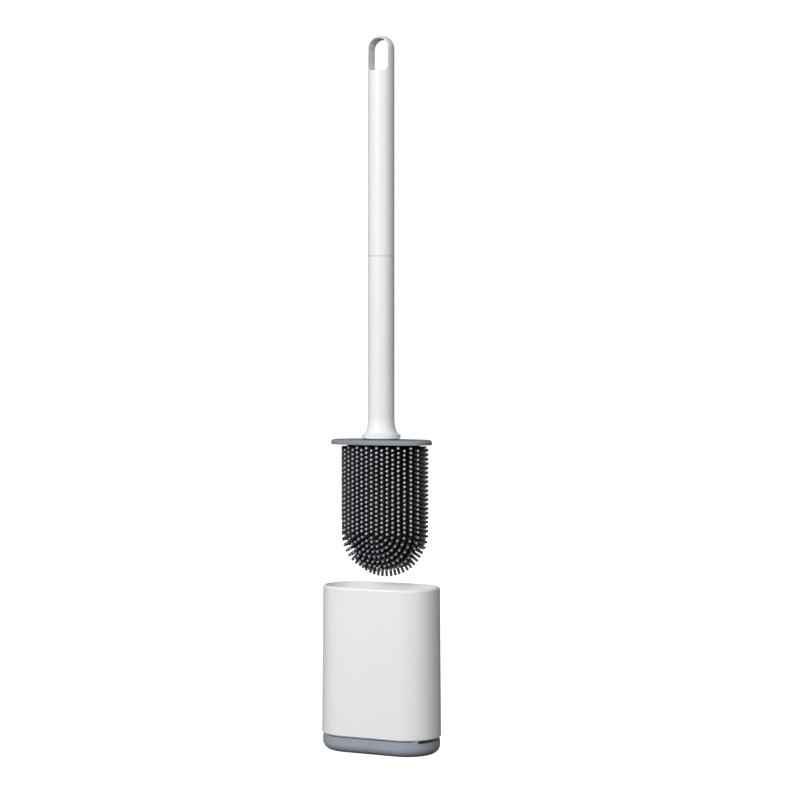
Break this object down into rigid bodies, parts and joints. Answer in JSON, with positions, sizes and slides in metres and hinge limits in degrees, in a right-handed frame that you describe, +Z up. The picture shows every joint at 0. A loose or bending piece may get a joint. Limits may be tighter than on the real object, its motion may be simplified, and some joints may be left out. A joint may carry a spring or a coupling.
{
  "type": "toilet brush and holder",
  "caption": "Soft-bristled paddle toilet brush on a screw-together handle, with a tall racetrack-shaped stand on a drip tray.",
  "frame": {"origin": "middle of the tray's flat underside, the plane that the stand rests on", "axes": "+Z up along the handle, +X along the stand's wide side, -Y the front"},
  "size_m": [0.0922, 0.0502, 0.5291],
  "materials": {
    "white_plastic": "satin moulded polypropylene, very fine texture",
    "tray_plastic": "satin blue-grey polypropylene",
    "lid_plastic": "satin blue-grey polypropylene",
    "core_plastic": "plain moulded polypropylene",
    "bristle_rubber": "soft charcoal thermoplastic rubber",
    "gasket_rubber": "soft pale grey rubber"
  },
  "bodies": {
    "tray": {"base_tray": "tray_plastic"},
    "shell": {"holder_shell": "white_plastic"},
    "brush": {"bristle_sleeve": "bristle_rubber", "head_core": "core_plastic", "splash_lid": "lid_plastic", "lower_handle": "white_plastic"},
    "gasket": {"joint_gasket": "gasket_rubber"},
    "grip": {"upper_handle": "white_plastic"}
  },
  "joints": [
    {"name": "shell_lift", "type": "slide", "parent": "tray", "child": "shell", "axis": [0, 0, 1], "range_m": [0, 0.04]},
    {"name": "brush_lift", "type": "slide", "parent": "shell", "child": "brush", "axis": [0, 0, 1], "range_m": [-0.1122, 0]},
    {"name": "handle_rise", "type": "slide", "parent": "brush", "child": "gasket", "axis": [0, 0, 1], "range_m": [0, 0.008]},
    {"name": "handle_unscrew", "type": "hinge", "parent": "gasket", "child": "grip", "pos_m": [0, 0, 0.3652], "axis": [0, 0, 1], "range_deg": [0, 721]}
  ],
  "couplings": [
    {"joint": "handle_unscrew", "follows": "handle_rise", "rad_per_m": 1570.8}
  ]
}
